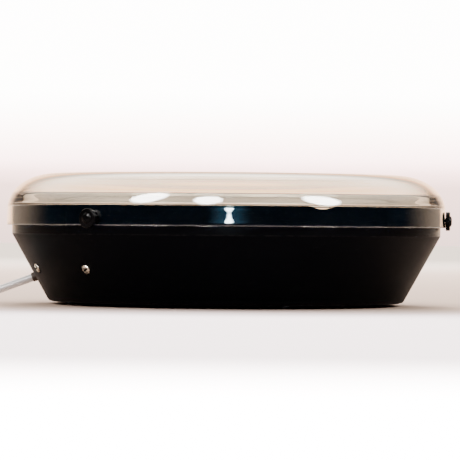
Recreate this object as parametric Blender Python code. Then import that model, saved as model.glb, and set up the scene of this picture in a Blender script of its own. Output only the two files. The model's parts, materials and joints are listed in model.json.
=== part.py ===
"""Hot stone heater: a round electric warming base with a clear domed cover.

The base is a black cone that flares up to a short upright band. Inside it a cast tray with seven
shallow seats holds the massage stones, and a ring element under the tray warms it. The clear cover
drops over the band and rests on the rim. Metres, +Z up, origin on the axis at the standing surface.
Azimuths are in degrees from the front (-Y) towards +X.
"""

import math

import bmesh
import bpy
from mathutils import Matrix, Vector

MM = 0.001
GAP = 0.3 * MM  # between neighbouring pieces

# Base shell
FOOT_HEIGHT = 2.0 * MM
SHELL_BOTTOM_R = 119.6 * MM
CONE_LOW = (122.4 * MM, 3.75 * MM)  # radius and height where the cone starts
CONE_HIGH = (146.9 * MM, 47.9 * MM)  # and where it meets the upright band
BAND_R = 146.9 * MM
RIM_TOP = 67.3 * MM
WALL = 2.6 * MM
LEDGE_TOP = 61.0 * MM
NOTCH_AZ, NOTCH_W, NOTCH_D = 25.0, 18.0 * MM, 2.0 * MM  # finger notch in the rim

# Stone tray
TRAY_FLANGE_R = 143.0 * MM
TRAY_FLOOR_R = 125.0 * MM
TRAY_FLOOR = 44.0 * MM
TRAY_UNDER = 37.6 * MM
WELL_COUNT, WELL_RING_R = 6, 82.0 * MM
WELL_SIZE, WELL_DEPTH = (36.0 * MM, 33.0 * MM), 4.0 * MM
MIDDLE_WELL_R = 33.0 * MM

# Heating
ELEMENT_R, ELEMENT_TUBE_R = 78.0 * MM, 3.25 * MM
PAD_R, PAD_BOTTOM, PAD_TOP = 101.0 * MM, 24.5 * MM, 30.5 * MM
SHIELD_R, SHIELD_BOTTOM, SHIELD_TOP = 104.0 * MM, 23.0 * MM, 24.2 * MM
BOSS_R, BOSS_AZ = 50.0 * MM, (33.0, 153.0, 273.0)

# Bracket, cord entry and fixings on the cone
SHELF_TOP, SHELF_IN_R = 18.6 * MM, 99.0 * MM
SCREW_Z, SCREW_AZ = 24.8 * MM, (-71.0, -43.0)
BLOCK_AZ = -57.0
CORD_AZ, CORD_R, CORD_Z = -97.0, 2.7 * MM, 21.7 * MM
BUSH_AT, BUSH_TILT = (130.8 * MM, 19.05 * MM), -21.0  # where it crosses the cone, and its dip

# Clear cover: a drafted skirt, an elliptical shoulder and a nearly flat crown
COVER_WALL = 2.4 * MM
SKIRT_BOTTOM, SKIRT_BOTTOM_R = 54.2 * MM, 150.5 * MM
SHOULDER_AT, SHOULDER_A, SHOULDER_B = (118.0 * MM, 65.0 * MM), 32.0 * MM, 24.0 * MM
CROWN_RISE = 1.4 * MM
SEAT_IN_R = 145.6 * MM  # the cover's seating step rests on the rim
STUD_AZ, STUD_Z = (-36.0, 84.0, 204.0), 58.3 * MM

# Mains cord, laid up in a coil beside the base
COIL_AT, COIL_R = Vector((-200.0, -18.1, 0.0)) * MM, 30.0 * MM
PLUG_AT = Vector((-225.4, -80.0, 7.0)) * MM

FINE, COARSE = 64, 48  # sides of the large and of the inner round pieces


def polar(radius, azimuth, z=0.0):
    a = math.radians(azimuth)
    return Vector((radius * math.sin(a), -radius * math.cos(a), z))


def outward(azimuth, dip=0.0):
    """A unit vector away from the axis; a negative dip points it below the horizontal."""
    return polar(math.cos(math.radians(dip)), azimuth, math.sin(math.radians(dip)))


def cone_r(z):
    (r0, z0), (r1, z1) = CONE_LOW, CONE_HIGH
    return r0 + (z - z0) * (r1 - r0) / (z1 - z0)


CONE_ANGLE = math.degrees(math.atan2(CONE_HIGH[0] - CONE_LOW[0], CONE_HIGH[1] - CONE_LOW[1]))
WALL_ACROSS = WALL / math.cos(math.radians(CONE_ANGLE))  # the cone's wall, measured level


def material(name, colour, roughness, metallic=0.0, alpha=1.0):
    m = bpy.data.materials.new(name)
    m.use_nodes = True
    shader = m.node_tree.nodes["Principled BSDF"]
    shader.inputs["Base Color"].default_value = (*colour, 1.0)
    shader.inputs["Roughness"].default_value = roughness
    shader.inputs["Metallic"].default_value = metallic
    shader.inputs["Alpha"].default_value = alpha
    return m


def piece(name, bm, look, place=None, parent=None):
    """An object with its own material, faces pointing out and round parts shaded smooth."""
    bmesh.ops.recalc_face_normals(bm, faces=bm.faces)
    mesh = bpy.data.meshes.new(name)
    bm.to_mesh(mesh)
    bm.free()
    ob = bpy.data.objects.new(name, mesh)
    bpy.context.scene.collection.objects.link(ob)
    mesh.shade_smooth()
    mesh.set_sharp_from_angle(angle=math.radians(32))
    if look:
        mesh.materials.append(material(name, *look))
    if place is not None:
        ob.matrix_world = place
    if parent:
        ob.parent = parent
        ob.matrix_parent_inverse = parent.matrix_world.inverted()
    return ob


def combine(ob, tools, operation="DIFFERENCE"):
    """Cuts the tools from the object, or joins them to it, and removes them."""
    for tool in tools:
        step = ob.modifiers.new(operation, "BOOLEAN")
        step.operation, step.object, step.solver = operation, tool, "EXACT"
    bpy.context.view_layer.update()
    seen = ob.evaluated_get(bpy.context.evaluated_depsgraph_get())
    mesh = bpy.data.meshes.new_from_object(seen)
    ob.modifiers.clear()
    ob.data = mesh
    mesh.shade_smooth()
    mesh.set_sharp_from_angle(angle=math.radians(32))
    for tool in tools:
        bpy.data.objects.remove(tool)
    return ob


def turned(outline, sides=COARSE, closed=True, start=0.0, sweep=360.0):
    """An outline of (radius, height) turned about +Z; a part turn gets flat ends."""
    bm = bmesh.new()
    verts = [bm.verts.new(polar(r, start, z)) for r, z in outline]
    edges = [bm.edges.new(pair) for pair in zip(verts, verts[1:])]
    if closed:
        edges.append(bm.edges.new((verts[-1], verts[0])))
    bmesh.ops.spin(bm, geom=verts + edges, cent=(0, 0, 0), axis=(0, 0, 1),
                   angle=math.radians(sweep), steps=sides, use_merge=sweep == 360.0)
    bmesh.ops.remove_doubles(bm, verts=bm.verts, dist=1e-7)
    if sweep != 360.0:
        bmesh.ops.holes_fill(bm, edges=[e for e in bm.edges if e.is_boundary], sides=0)
    return bm


def block(size, centre=(0, 0, 0)):
    bm = bmesh.new()
    bmesh.ops.create_cube(bm, size=1.0, matrix=Matrix.Translation(centre) @ Matrix.Diagonal((*size, 1)))
    return bm


def rod(radius, low, high, sides=20):
    """A plain cylinder along +Z."""
    return turned([(0, high), (radius, high), (radius, low), (0, low)], sides, closed=False)


def loft(rings):
    """A closed body through rings of equal length, capped at both ends."""
    bm = bmesh.new()
    rows = [[bm.verts.new(p) for p in ring] for ring in rings]
    n = len(rows[0])
    for a, b in zip(rows, rows[1:]):
        for i in range(n):
            bm.faces.new((a[i], a[(i + 1) % n], b[(i + 1) % n], b[i]))
    bm.faces.new(rows[0])
    bm.faces.new(rows[-1])
    return bm


def band(outer, inner, width):
    """A strap: the space between two outlines in the YZ plane, as wide as width along X."""
    bm = bmesh.new()
    rows = [[bm.verts.new((x, y, z)) for y, z in outline]
            for outline, x in ((outer, -width / 2), (outer, width / 2), (inner, width / 2), (inner, -width / 2))]
    n = len(outer)
    for a, b in zip(rows, rows[1:] + rows[:1]):
        for i in range(n):
            bm.faces.new((a[i], a[(i + 1) % n], b[(i + 1) % n], b[i]))
    return bm


def aimed(at, direction, turn=0.0):
    """Places a piece modelled along +Z so that it points along direction."""
    return (Matrix.Translation(at) @ direction.to_track_quat("Z", "Y").to_matrix().to_4x4()
            @ Matrix.Rotation(math.radians(turn), 4, "Z"))


def at_azimuth(azimuth, radius, z):
    """Local +X points away from the axis and local +Z up."""
    return Matrix.Translation(polar(radius, azimuth, z)) @ Matrix.Rotation(math.radians(azimuth - 90), 4, "Z")


def smooth_route(points, step):
    """Points about step apart on a smooth curve through the given ones."""
    points = [Vector(p) for p in points]
    ends = [points[0] * 2 - points[1]] + points + [points[-1] * 2 - points[-2]]
    out = []
    for a, b, c, d in zip(ends, ends[1:], ends[2:], ends[3:]):
        n = max(1, round((c - b).length / step))
        for i in range(n):
            t = i / n
            out.append(0.5 * (2 * b + (c - a) * t + (2 * a - 5 * b + 4 * c - d) * t * t
                              + (3 * b - 3 * c + d - a) * t ** 3))
    return out + [points[-1]]


def tube(name, route, radius, look, resolution=3):
    curve = bpy.data.curves.new(name, "CURVE")
    curve.dimensions, curve.bevel_depth, curve.bevel_resolution = "3D", radius, resolution
    curve.use_fill_caps = True
    spline = curve.splines.new("POLY")
    spline.points.add(len(route) - 1)
    for point, co in zip(spline.points, route):
        point.co = (*co, 1.0)
    spline.use_smooth = True
    curve.materials.append(material(name, *look))
    ob = bpy.data.objects.new(name, curve)
    bpy.context.scene.collection.objects.link(ob)
    return ob


def cross_recess(top, reach, depth, blade):
    """A cutter for a cross recess in a screw head."""
    tools = [piece("cut", block(size, (0, 0, top)), None) for size in
             ((2 * reach, blade, 2 * depth), (blade, 2 * reach, 2 * depth))]
    return combine(tools[0], tools[1:], "UNION")


def screw_mesh(head_r, head_h, shank_r, length, sides=12, steps=2):
    """A pan-head screw along +Z: its head's underside is at 0 and its shank runs down."""
    dome = [(head_r * math.sin(a), head_h * (0.45 + 0.55 * math.cos(a))) for a in
            [math.radians(d) for d in range(0, 91, 90 // steps)]]
    outline = dome + [(head_r, 0), (shank_r, 0), (shank_r, -length), (0, -length)]
    ob = piece("screw", turned(outline, sides, closed=False), None)
    combine(ob, [cross_recess(head_h, head_r * 0.62, head_h * 0.6, head_r * 0.26)])
    mesh = ob.data
    bpy.data.objects.remove(ob)
    return mesh


def screws(name, mesh, places, look):
    for number, place in enumerate(places, 1):
        label = f"{name}_{number}" if len(places) > 1 else name
        ob = bpy.data.objects.new(label, mesh.copy())
        ob.data.materials.clear()
        ob.data.materials.append(material(label, *look))
        bpy.context.scene.collection.objects.link(ob)
        ob.matrix_world = place


BLACK = ((0.016, 0.015, 0.015), 0.45)
RUBBER = ((0.02, 0.02, 0.02), 0.8)
STEEL = ((0.62, 0.61, 0.58), 0.32, 1.0)
ZINC = ((0.55, 0.56, 0.57), 0.45, 1.0)
ALUMINIUM = ((0.42, 0.42, 0.43), 0.5, 1.0)
CREAM = ((0.75, 0.72, 0.64), 0.6)
WHITE = ((0.78, 0.78, 0.78), 0.45)


def make_shell():
    inner = WALL_ACROSS
    outline = [
        (SHELL_BOTTOM_R, FOOT_HEIGHT), (121.3 * MM, 2.5 * MM), CONE_LOW,
        (CONE_HIGH[0] - 0.25 * MM, CONE_HIGH[1] - 0.45 * MM), (BAND_R, CONE_HIGH[1] + 0.25 * MM),
        (BAND_R, RIM_TOP - 0.8 * MM), (BAND_R - 0.24 * MM, RIM_TOP - 0.24 * MM), (BAND_R - 0.8 * MM, RIM_TOP),
        (144.1 * MM, RIM_TOP), (143.6 * MM, RIM_TOP - 0.5 * MM), (143.4 * MM, LEDGE_TOP),
        (135.8 * MM, LEDGE_TOP), (135.8 * MM, LEDGE_TOP - 2.4 * MM), (144.2 * MM, LEDGE_TOP - 2.4 * MM),
        (144.2 * MM, CONE_HIGH[1] + 0.5 * MM), (cone_r(5.0 * MM) - inner, 5.0 * MM), (117.0 * MM, 3.6 * MM),
        (117.0 * MM, FOOT_HEIGHT),
    ]
    shell = piece("base_shell", turned(outline, FINE), BLACK)
    tabs = [piece("tab", block((15.2 * MM, 9 * MM, 4.1 * MM)), None, at_azimuth(az, 115.0 * MM, 6.95 * MM))
            for az in PLATE_SCREW_AZ]
    combine(shell, tabs, "UNION")
    cuts = [piece("cut", rod(1.8 * MM, 3 * MM, 12 * MM, 12), None, Matrix.Translation(polar(PLATE_SCREW_R, az)))
            for az in PLATE_SCREW_AZ]
    for az in SCREW_AZ:
        at = polar(cone_r(SCREW_Z), az, SCREW_Z)
        step = [(0, 6), (4.1, 6), (4.1, -1.0), (1.8, -1.0), (1.8, -6), (0, -6)]
        cuts.append(piece("cut", turned([(r * MM, z * MM) for r, z in step], 28, closed=False), None,
                          aimed(at, outward(az, -CONE_ANGLE))))
    cuts.append(piece("cut", rod(4.0 * MM, -12 * MM, 12 * MM, 24), None,
                      aimed(polar(BUSH_AT[0], CORD_AZ, BUSH_AT[1]), outward(CORD_AZ, BUSH_TILT))))
    radius = (NOTCH_W ** 2 / 4 + NOTCH_D ** 2) / (2 * NOTCH_D)
    cuts.append(piece("cut", rod(radius, 130 * MM, 160 * MM, 96), None,
                      aimed(polar(0, 0, RIM_TOP - NOTCH_D + radius), outward(NOTCH_AZ))))
    combine(shell, cuts)


PLATE_SCREW_AZ, PLATE_SCREW_R = (20.0, 110.0, 200.0, 290.0), 112.2 * MM
FOOT_AZ, FOOT_R = (65.0, 155.0, 245.0, 335.0), 96.0 * MM


def make_bottom():
    outline = [(0, 5.6), (84, 5.6), (87, 4.6), (116.6, 4.6), (116.6, 2.8), (86.6, 2.8), (83.6, 3.8), (0, 3.8)]
    plate = piece("base_plate", turned([(r * MM, z * MM) for r, z in outline], COARSE, closed=False), BLACK)
    combine(plate, [piece("cut", rod(1.8 * MM, 0, 9 * MM, 12), None, Matrix.Translation(polar(PLATE_SCREW_R, az)))
                    for az in PLATE_SCREW_AZ])
    mesh = screw_mesh(2.8 * MM, 1.5 * MM, 1.5 * MM, 6.0 * MM)
    screws("plate_screw", mesh, [aimed(polar(PLATE_SCREW_R, az, 2.5 * MM), Vector((0, 0, -1)))
                                 for az in PLATE_SCREW_AZ], ZINC)
    foot = [(0, 2.5), (7.6, 2.5), (7.6, 0.6), (7.0, 0), (0, 0)]
    for number, az in enumerate(FOOT_AZ, 1):
        piece(f"foot_{number}", turned([(r * MM, z * MM) for r, z in foot], 24, closed=False), RUBBER,
              Matrix.Translation(polar(FOOT_R, az)))


def make_tray():
    outline = [
        (0, TRAY_FLOOR), (TRAY_FLOOR_R, TRAY_FLOOR), (127.2 * MM, TRAY_FLOOR + 0.8 * MM),
        (128.4 * MM, TRAY_FLOOR + 2.8 * MM), (133.2 * MM, 61.2 * MM), (134.3 * MM, 62.6 * MM),
        (135.8 * MM, 63.0 * MM), (142.4 * MM, 63.0 * MM), (TRAY_FLANGE_R, 62.4 * MM),
        (TRAY_FLANGE_R, LEDGE_TOP + GAP), (135.4 * MM, LEDGE_TOP + GAP), (135.0 * MM, 60.4 * MM),
        (130.4 * MM, 44.0 * MM), (128.2 * MM, 38.6 * MM), (127.0 * MM, TRAY_UNDER), (0, TRAY_UNDER),
    ]
    tray = piece("stone_tray", turned(outline, COARSE, closed=False), ALUMINIUM)
    bosses = [piece("boss", rod(4.5 * MM, PAD_BOTTOM, TRAY_UNDER + 1 * MM, 20), None,
                    Matrix.Translation(polar(BOSS_R, az))) for az in BOSS_AZ]
    combine(tray, bosses, "UNION")
    drop = 4.5 * MM  # the dished cutters' centres stand this far above the floor
    deep = drop + WELL_DEPTH
    widen = 1 / math.sqrt(1 - (drop / deep) ** 2)
    cuts = []
    for k in range(WELL_COUNT + 1):
        a, b = WELL_SIZE if k < WELL_COUNT else (MIDDLE_WELL_R, MIDDLE_WELL_R)
        bm = bmesh.new()
        bmesh.ops.create_uvsphere(bm, u_segments=20, v_segments=12, radius=1.0,
                                  matrix=Matrix.Diagonal((a * widen, b * widen, deep, 1)))
        radius = WELL_RING_R if k < WELL_COUNT else 0.0
        cuts.append(piece("cut", bm, None, at_azimuth(360 / WELL_COUNT * k, radius, TRAY_FLOOR + drop)))
    cuts += [piece("cut", rod(1.8 * MM, 20 * MM, 35 * MM, 12), None, Matrix.Translation(polar(BOSS_R, az)))
             for az in BOSS_AZ]
    combine(tray, cuts)


def make_heating():
    height = TRAY_UNDER - GAP - ELEMENT_TUBE_R
    open_half, legs = 6.0, []
    for side in (1, -1):
        az = BLOCK_AZ + side * open_half
        legs.append([polar(ELEMENT_R, az, z) for z in (18 * MM, 22 * MM, 26 * MM)]
                    + [polar(ELEMENT_R, az + side * turn, height - drop) for turn, drop in
                       ((0.3, 4.0 * MM), (1.4, 1.6 * MM), (3.4, 0.3 * MM))])
    ring = [polar(ELEMENT_R, BLOCK_AZ + open_half + 6 + 8 * k, height) for k in range(43)]
    tube("heating_element", smooth_route(legs[0] + ring + legs[1][::-1], 12 * MM), ELEMENT_TUBE_R,
         ((0.35, 0.34, 0.33), 0.4, 1.0), 3)

    leg_holes = [polar(ELEMENT_R, BLOCK_AZ + side * open_half) for side in (1, -1)]
    outline = [(12 * MM, PAD_TOP), (PAD_R, PAD_TOP), (PAD_R, PAD_BOTTOM), (12 * MM, PAD_BOTTOM)]
    pad = piece("insulation_pad", turned(outline), CREAM)
    holes = [piece("cut", rod(5.2 * MM, 15 * MM, 40 * MM, 20), None, Matrix.Translation(polar(BOSS_R, az)))
             for az in BOSS_AZ]
    holes += [piece("cut", rod(5.0 * MM, 15 * MM, 40 * MM, 20), None, Matrix.Translation(at)) for at in leg_holes]
    combine(pad, holes)

    outline = [(8.8 * MM, SHIELD_TOP), (SHIELD_R - 1.2 * MM, SHIELD_TOP), (SHIELD_R - 1.2 * MM, 28 * MM),
               (SHIELD_R, 28 * MM), (SHIELD_R, SHIELD_BOTTOM), (8.8 * MM, SHIELD_BOTTOM)]
    shield = piece("heat_shield", turned(outline), ZINC)
    holes = [piece("cut", rod(1.8 * MM, 15 * MM, 30 * MM, 12), None, Matrix.Translation(polar(BOSS_R, az)))
             for az in BOSS_AZ]
    holes += [piece("cut", rod(5.0 * MM, 15 * MM, 30 * MM, 20), None, Matrix.Translation(at)) for at in leg_holes]
    combine(shield, holes)
    screws("shield_screw", screw_mesh(2.8 * MM, 1.5 * MM, 1.5 * MM, 10.0 * MM),
           [aimed(polar(BOSS_R, az, SHIELD_BOTTOM - GAP), Vector((0, 0, -1))) for az in BOSS_AZ], ZINC)

    can = [(0, 37.3), (7.9, 37.3), (7.9, 26.0), (11.0, 26.0), (11.0, 24.5), (8.4, 24.5), (8.4, 15.5), (0, 15.5)]
    thermostat = piece("thermostat", turned([(r * MM, z * MM) for r, z in can], 24, closed=False),
                       ((0.05, 0.05, 0.055), 0.4))
    blades = [piece("blade", block((6.3 * MM, 0.8 * MM, 8 * MM)), None,
                    at_azimuth(BLOCK_AZ + 90, side * 4.2 * MM, 12.5 * MM)) for side in (1, -1)]
    combine(thermostat, blades, "UNION")

    fuse = [(0, 15), (0.6, 15), (0.6, 6.4), (2.0, 5.6), (2.0, -5.6), (0.6, -6.4), (0.6, -15), (0, -15)]
    piece("thermal_fuse", turned([(r * MM, z * MM) for r, z in fuse], 16, closed=False),
          ((0.6, 0.58, 0.5), 0.4, 0.6), aimed(polar(42 * MM, BLOCK_AZ - 6, 14.5 * MM), outward(BLOCK_AZ - 6)))


def make_entry():
    """The bracket on the cone's two outer screws, and what it carries."""
    face = WALL_ACROSS + 0.5 * MM
    thick = 1.5 * MM / math.cos(math.radians(CONE_ANGLE))
    low, high = SHELF_TOP - 1.5 * MM, 32.0 * MM
    outline = [(SHELF_IN_R, SHELF_TOP), (cone_r(SHELF_TOP) - face - thick, SHELF_TOP),
               (cone_r(high) - face - thick, high), (cone_r(high) - face, high),
               (cone_r(low) - face, low), (SHELF_IN_R, low)]
    bracket = piece("inner_bracket", turned(outline, 20, start=-106.0, sweep=70.0), ZINC)
    cuts = [piece("cut", rod(1.8 * MM, -12 * MM, 5 * MM, 12), None,
                  aimed(polar(cone_r(SCREW_Z), az, SCREW_Z), outward(az, -CONE_ANGLE))) for az in SCREW_AZ]
    cuts.append(piece("cut", rod(6.2 * MM, -12 * MM, 8 * MM, 24), None,
                      aimed(polar(BUSH_AT[0], CORD_AZ, BUSH_AT[1]), outward(CORD_AZ, BUSH_TILT))))
    clamp_at = [at_azimuth(CORD_AZ, 115.0 * MM, 0) @ Vector((0, side * 8.2 * MM, 0)) for side in (1, -1)]
    block_at = polar(114.0 * MM, BLOCK_AZ)
    cuts += [piece("cut", rod(1.8 * MM, 10 * MM, 22 * MM, 12), None, Matrix.Translation(at))
             for at in (*clamp_at, block_at)]
    combine(bracket, cuts)
    screws("case_screw", screw_mesh(3.2 * MM, 2.2 * MM, 1.5 * MM, 8.5 * MM, 20, 3),
           [aimed(polar(cone_r(SCREW_Z), az, SCREW_Z) - 0.7 * MM * outward(az, -CONE_ANGLE),
                  outward(az, -CONE_ANGLE), turn) for az, turn in zip(SCREW_AZ, (20.0, 38.0))], STEEL)

    bore, inner, neck = CORD_R + GAP, 5.6 * MM, 3.7 * MM
    outline = [(bore, 5.4 * MM), (3.6 * MM, 5.4 * MM), (4.5 * MM, 0.9 * MM), (neck, 0.9 * MM),
               (neck, -3.6 * MM), (inner, -3.6 * MM), (inner, -5.0 * MM), (bore, -5.0 * MM)]
    piece("cord_bush", turned(outline, 24), ((0.035, 0.025, 0.022), 0.6),
          aimed(polar(BUSH_AT[0], CORD_AZ, BUSH_AT[1]), outward(CORD_AZ, BUSH_TILT)))

    clamp = piece("cord_clamp", block((7 * MM, 23 * MM, 8.6 * MM), (0, 0, 4.3 * MM)), CREAM,
                  at_azimuth(CORD_AZ, 115.0 * MM, SHELF_TOP + GAP))
    channel = piece("cut", rod(CORD_R + GAP, -9 * MM, 9 * MM, 24), None,
                    aimed(polar(115.0 * MM, CORD_AZ, CORD_Z), outward(CORD_AZ)))
    under = piece("cut", block((20 * MM, 2 * (CORD_R + GAP), 6 * MM)), None,
                  at_azimuth(CORD_AZ, 115.0 * MM, CORD_Z - 3 * MM))
    holes = [piece("cut", rod(1.8 * MM, 10 * MM, 40 * MM, 12), None, Matrix.Translation(at)) for at in clamp_at]
    combine(clamp, [channel, under] + holes)
    top = SHELF_TOP + GAP + 8.6 * MM + GAP
    screws("clamp_screw", screw_mesh(2.6 * MM, 1.4 * MM, 1.5 * MM, top - 13 * MM),
           [aimed(at + Vector((0, 0, top)), Vector((0, 0, 1))) for at in clamp_at], ZINC)

    body = piece("terminal_block", block((15 * MM, 33 * MM, 12 * MM), (0, 0, 6 * MM)), CREAM,
                 at_azimuth(BLOCK_AZ, 114.0 * MM, SHELF_TOP + GAP))
    cuts = [piece("cut", rod(1.8 * MM, 0, 40 * MM, 12), None, Matrix.Translation(block_at))]
    for row in (4.6 * MM, -4.6 * MM):
        for side in (-11.5 * MM, 11.5 * MM):
            at = at_azimuth(BLOCK_AZ, 114.0 * MM, 0) @ Vector((row, side, 0))
            cuts.append(piece("cut", rod(2.0 * MM, 26 * MM, 40 * MM, 12), None, Matrix.Translation(at)))
    for side in (-5.6 * MM, 5.6 * MM):
        slot = block((20 * MM, 1.4 * MM, 8 * MM), (0, side, 12 * MM))
        cuts.append(piece("cut", slot, None, at_azimuth(BLOCK_AZ, 114.0 * MM, SHELF_TOP + GAP)))
    combine(body, cuts)
    screws("block_screw", screw_mesh(2.6 * MM, 1.4 * MM, 1.5 * MM, 18.0 * MM),
           [aimed(block_at + Vector((0, 0, SHELF_TOP + 12 * MM + 2 * GAP)), Vector((0, 0, 1)))], ZINC)


def make_leads():
    wire = 1.1 * MM
    plan = ((110.2, -97), (107.6, -96.6), (106.2, -95.0), (105.9, -92.0), (107.0, -87), (109.5, -80),
            (111.5, -73), (112.6, -66.4))
    for name, z, colour in (("lead_live", 20.3, (0.16, 0.06, 0.02)), ("lead_neutral", 22.9, (0.02, 0.08, 0.35))):
        tube(name, smooth_route([polar(r * MM, az, z * MM) for r, az in plan], 5 * MM), wire, (colour, 0.5), 2)
    red = ((0.35, 0.02, 0.02), 0.5)
    route = [polar(105.6 * MM, -60, 20.9 * MM), polar(98 * MM, -61, 20.6 * MM), polar(84 * MM, -66, 16.5 * MM),
             polar(62 * MM, -72, 13.0 * MM), polar(38 * MM, -84, 11.8 * MM), polar(18 * MM, -112, 11.0 * MM),
             polar(9.4 * MM, -138, 11.0 * MM)]
    tube("lead_thermostat", smooth_route(route, 6 * MM), wire, red, 2)
    at = BLOCK_AZ + 6.0
    route = [polar(105.6 * MM, -54, 20.9 * MM), polar(98 * MM, -53, 20.4 * MM), polar(90 * MM, -52, 17.0 * MM),
             polar(82.5 * MM, at, 15.6 * MM), polar(ELEMENT_R, at, 16.4 * MM)]
    tube("lead_element", smooth_route(route, 4 * MM)[:-1], wire, red, 2)


def cover_outer(steps):
    (cr, cz), a, b = SHOULDER_AT, SHOULDER_A, SHOULDER_B
    crown = [(cr * k / 2, cz + b + CROWN_RISE * (1 - (k / 2) ** 2) ** 2) for k in range(2)]
    turns = [math.radians(90 * k / steps) for k in range(steps + 1)]
    return crown + [(cr + a * math.sin(t), cz + b * math.cos(t)) for t in turns]


def make_cover():
    """A closed wall: down the outside, round the skirt's foot and up the inside."""
    (cr, cz), a, b = SHOULDER_AT, SHOULDER_A - COVER_WALL, SHOULDER_B - COVER_WALL
    seat_z = RIM_TOP + GAP
    outline = cover_outer(8) + [
        (SKIRT_BOTTOM_R, SKIRT_BOTTOM + 0.6 * MM), (SKIRT_BOTTOM_R - 0.5 * MM, SKIRT_BOTTOM),
        (SKIRT_BOTTOM_R - COVER_WALL + 0.4 * MM, SKIRT_BOTTOM),
        (SKIRT_BOTTOM_R - COVER_WALL, SKIRT_BOTTOM + 0.4 * MM), (148.0 * MM, seat_z - 0.5 * MM),
        (147.6 * MM, seat_z), (SEAT_IN_R, seat_z)]
    top = math.degrees(math.asin((SEAT_IN_R - cr) / a))
    turns = [math.radians(top * (1 - k / 6)) for k in range(7)]
    outline += [(cr + a * math.sin(t), cz + b * math.cos(t)) for t in turns]
    outline += [(cr * k / 2, cz + b + CROWN_RISE * (1 - (k / 2) ** 2) ** 2) for k in (1, 0)]
    lift = bpy.data.objects.new("cover_lift", None)  # the cover lifts straight up along this axis
    bpy.context.scene.collection.objects.link(lift)
    lift.location = (0, 0, SKIRT_BOTTOM)
    bpy.context.view_layer.update()
    cover = piece("clear_cover", turned(outline, FINE, closed=False), ((0.9, 0.9, 0.88), 0.05, 0.0, 0.2),
                  parent=lift)
    combine(cover, [piece("cut", rod(2.5 * MM, 140 * MM, 160 * MM, 20), None,
                          aimed(polar(0, 0, STUD_Z), outward(az))) for az in STUD_AZ])
    shank, flange, cap = 2.2, 6.45, 3.6
    stud = [(0, 3.9), (1.7, 3.7), (2.9, 3.1), (cap, 2.3), (5.9, 2.3), (flange, 1.7),
            (flange, 0.0), (shank, 0.0), (shank, -1.9), (0, -1.9)]
    for number, az in enumerate(STUD_AZ, 1):
        at = polar(SKIRT_BOTTOM_R + GAP + 0.2 * MM, az, STUD_Z)
        piece(f"cover_stud_{number}", turned([(r * MM, z * MM) for r, z in stud], 20, closed=False), BLACK,
              aimed(at, outward(az)), parent=lift)


def make_cord():
    """The free run to the coil, the coil, its tie, the tail and the plug."""
    run = [polar(111.0 * MM, CORD_AZ, CORD_Z), polar(118.5 * MM, CORD_AZ, CORD_Z),
           polar(123.0 * MM, CORD_AZ, 21.45 * MM), polar(127.0 * MM, CORD_AZ, 20.4 * MM),
           polar(130.8 * MM, CORD_AZ, 19.05 * MM), polar(134.4 * MM, CORD_AZ, 17.65 * MM),
           polar(138.5 * MM, CORD_AZ, 16.05 * MM)]
    run += [Vector(p) * MM for p in ((-145.5, 18.1, 13.2), (-155, 19.1, 9.6), (-165, 19.7, 6.3), (-172, 19.95, 4.6),
                                     (-177.6, 20.0, 3.6))]
    tube("mains_cord", smooth_route(run, 8 * MM), CORD_R, WHITE)

    section = [(19.4, 0.0), (40.6, 0.0), (41.0, 2.7), (40.8, 4.6), (38.4, 9.0), (35.6, 13.6), (33.5, 14.9),
               (26.5, 14.9), (24.4, 13.6), (21.6, 9.0), (19.2, 4.6), (19.0, 2.7)]
    middle, half_w, half_h = 30.0, 11.0, 7.45

    def scaled(out_w, out_h):
        """The section moved in or out by these distances, as (y, z) on the coil's -Y side."""
        w, h = (half_w + out_w) / half_w, (half_h + out_h) / half_h
        return [(-(middle + (r - middle) * w) * MM, (half_h + (z - half_h) * h) * MM) for r, z in section]

    place = Matrix.Translation(COIL_AT)
    coil = piece("cord_coil", turned([(r * MM, z * MM) for r, z in section], 32), WHITE, place)
    combine(coil, [piece("cut", band(scaled(4, 4), scaled(-1.6, -1.6), 4.8 * MM), None, place)])
    piece("cord_tie", band(scaled(-0.25, -0.25), scaled(-1.3, -1.3), 4.0 * MM), ((0.03, 0.03, 0.03), 0.5), place)

    tail = [Vector(p) * MM for p in ((-227.35, -51.2, 10.6), (-227.0, -59, 8.6), (-226.4, -67, 7.4),
                                     (-225.8, -75, 7.0), (-225.4, -79.7, 7.0))]
    tube("cord_tail", smooth_route(tail, 8 * MM), CORD_R, WHITE)

    def ring(y, half_x, half_z, power, n=24):
        out = []
        for k in range(n):
            t = 2 * math.pi * k / n
            c, s = math.cos(t), math.sin(t)
            out.append((half_x * math.copysign(abs(c) ** power, c) * MM, y * MM,
                        half_z * math.copysign(abs(s) ** power, s) * MM))
        return out

    shape = ((0, 4.0, 4.0, 1.0), (-9, 4.6, 4.5, 1.0), (-20, 6.2, 5.2, 0.9), (-27, 10.5, 6.0, 0.75),
             (-33, 15.6, 6.6, 0.6), (-38, 17.2, 6.75, 0.55), (-46, 17.4, 6.75, 0.5), (-50, 17.0, 6.6, 0.5))
    body = piece("plug_body", loft([ring(*s) for s in shape]), WHITE, Matrix.Translation(PLUG_AT))
    pin_at = [PLUG_AT + Vector((side * 9.3 * MM, -50 * MM, 0)) for side in (1, -1)]
    combine(body, [piece("cut", rod(2.3 * MM, -8 * MM, 5 * MM, 20), None, aimed(at, Vector((0, -1, 0))))
                   for at in pin_at])
    pin = [(0, 19.0), (1.2, 18.7), (1.9, 17.6), (2.0, 16.8), (2.0, 9.5), (1.75, 9.0), (1.75, -7.5), (0, -7.5)]
    for number, at in enumerate(pin_at, 1):
        piece(f"plug_pin_{number}", turned([(r * MM, z * MM) for r, z in pin], 16, closed=False), STEEL,
              aimed(at, Vector((0, -1, 0))))


def main():
    for ob in list(bpy.data.objects):
        bpy.data.objects.remove(ob)
    make_shell()
    make_bottom()
    make_tray()
    make_heating()
    make_entry()
    make_leads()
    make_cover()
    make_cord()


main()
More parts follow.
